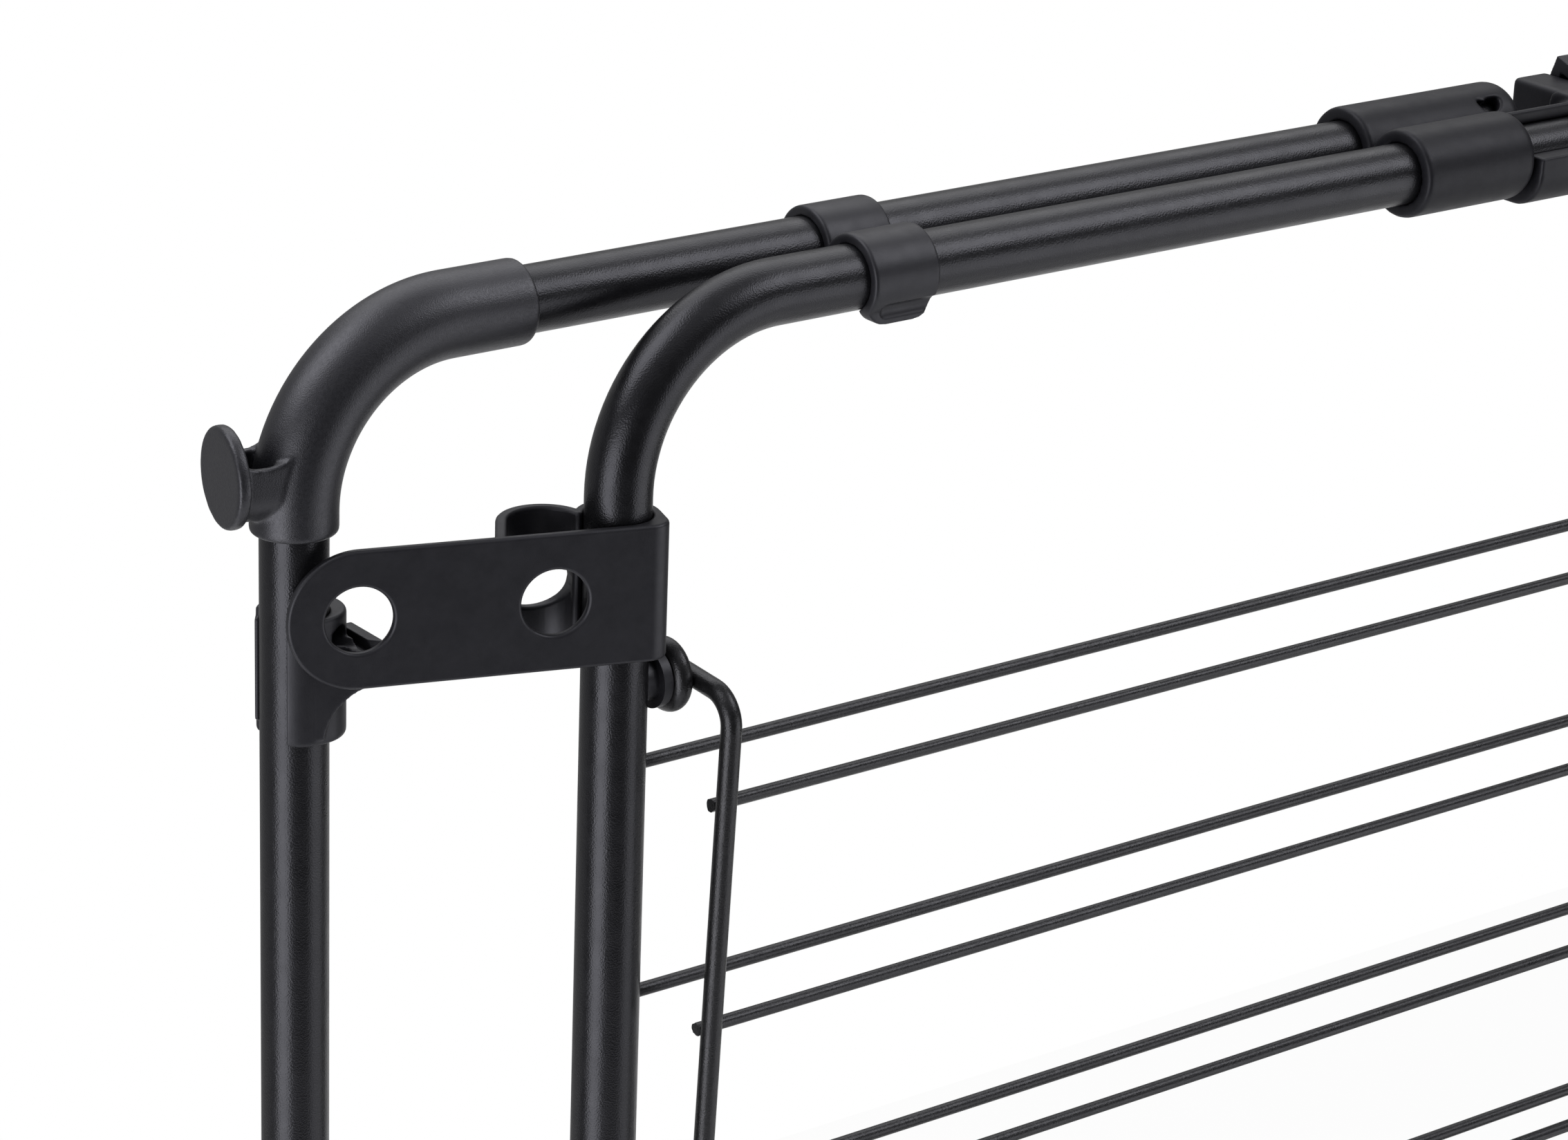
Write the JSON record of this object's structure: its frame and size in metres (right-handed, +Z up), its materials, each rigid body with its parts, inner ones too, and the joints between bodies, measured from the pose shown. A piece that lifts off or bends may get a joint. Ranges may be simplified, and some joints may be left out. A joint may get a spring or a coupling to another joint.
{
  "type": "wall mounted fold down drying rack",
  "caption": "Black tube frame fixed to a wall with a hinged bed of drying lines that folds down, a drop wing, swing-out hanger plates and side hooks.",
  "frame": {"origin": "centre of the four lower wall screws, on the wall plane, at the height of the bed hinge", "axes": "+X right along the top bars, +Y into the wall, +Z up"},
  "size_m": [0.892, 0.103, 0.7305],
  "materials": {
    "coated_tube": "satin powder coat",
    "coated_wire": "satin powder coat",
    "black_plastic": "fine matt texture",
    "soft_cap": "matt",
    "steel_pin": "black oxide"
  },
  "bodies": {
    "wall_frame": {"frame_tube_left": "coated_tube", "frame_tube_right": "coated_tube", "corner_hook_left": "black_plastic", "corner_hook_right": "black_plastic", "frame_clip_left": "black_plastic", "frame_clip_right": "black_plastic", "post_clip_left": "black_plastic", "post_clip_right": "black_plastic", "frame_sleeve_left": "black_plastic", "frame_sleeve_right": "black_plastic", "frame_joiner": "coated_tube", "upper_bracket_left": "black_plastic", "upper_bracket_right": "black_plastic", "lower_bracket_left": "black_plastic", "lower_bracket_right": "black_plastic", "cross_tube": "coated_tube", "hinge_rod": "coated_tube", "hinge_cap_left": "black_plastic", "hinge_cap_right": "black_plastic", "hinge_sleeve_left": "black_plastic", "hinge_sleeve_right": "black_plastic"},
    "bed": {"bed_tube_left": "coated_tube", "bed_tube_right": "coated_tube", "bed_clip_left": "black_plastic", "bed_clip_right": "black_plastic", "bed_sleeve_left": "black_plastic", "bed_sleeve_right": "black_plastic", "bed_joiner": "coated_tube", "centre_block": "black_plastic", "latch_pin": "steel_pin", "tail_cap_left": "soft_cap", "tail_cap_right": "soft_cap", "hinge_knuckle_left": "black_plastic", "hinge_knuckle_right": "black_plastic", "pivot_pin_left": "steel_pin", "pivot_pin_right": "steel_pin", "pivot_spacer_left": "black_plastic", "pivot_spacer_right": "black_plastic", "bed_line_1": "coated_wire", "bed_line_2": "coated_wire", "bed_line_3": "coated_wire", "bed_line_4": "coated_wire", "bed_line_5": "coated_wire", "bed_line_6": "coated_wire", "bed_line_7": "coated_wire", "bed_line_8": "coated_wire", "bed_line_9": "coated_wire"},
    "wing": {"wing_frame": "coated_wire", "wing_line_1": "coated_wire", "wing_line_2": "coated_wire", "wing_line_3": "coated_wire", "wing_line_4": "coated_wire", "wing_line_5": "coated_wire"},
    "hanger_left": {"hanger_plate_left": "black_plastic"},
    "hanger_right": {"hanger_plate_right": "black_plastic"},
    "latch": {"latch_lever": "black_plastic"}
  },
  "joints": [
    {"name": "bed_fold", "type": "hinge", "parent": "wall_frame", "child": "bed", "pos_m": [0, -0.089, 0], "axis": [1, 0, 0], "range_deg": [0, 90]},
    {"name": "wing_fold", "type": "hinge", "parent": "bed", "child": "wing", "pos_m": [0, -0.069, 0.5703], "axis": [-1, 0, 0], "range_deg": [0, 150]},
    {"name": "hanger_left_swing", "type": "hinge", "parent": "bed", "child": "hanger_left", "pos_m": [-0.3357, -0.069, 0.5966], "axis": [0, 0, 1], "range_deg": [0, 105]},
    {"name": "hanger_right_swing", "type": "hinge", "parent": "bed", "child": "hanger_right", "pos_m": [0.3357, -0.069, 0.5966], "axis": [0, 0, -1], "range_deg": [0, 105]},
    {"name": "latch_turn", "type": "hinge", "parent": "bed", "child": "latch", "pos_m": [0, -0.0565, 0.6652], "axis": [-1, 0, 0], "range_deg": [0, 20]}
  ]
}
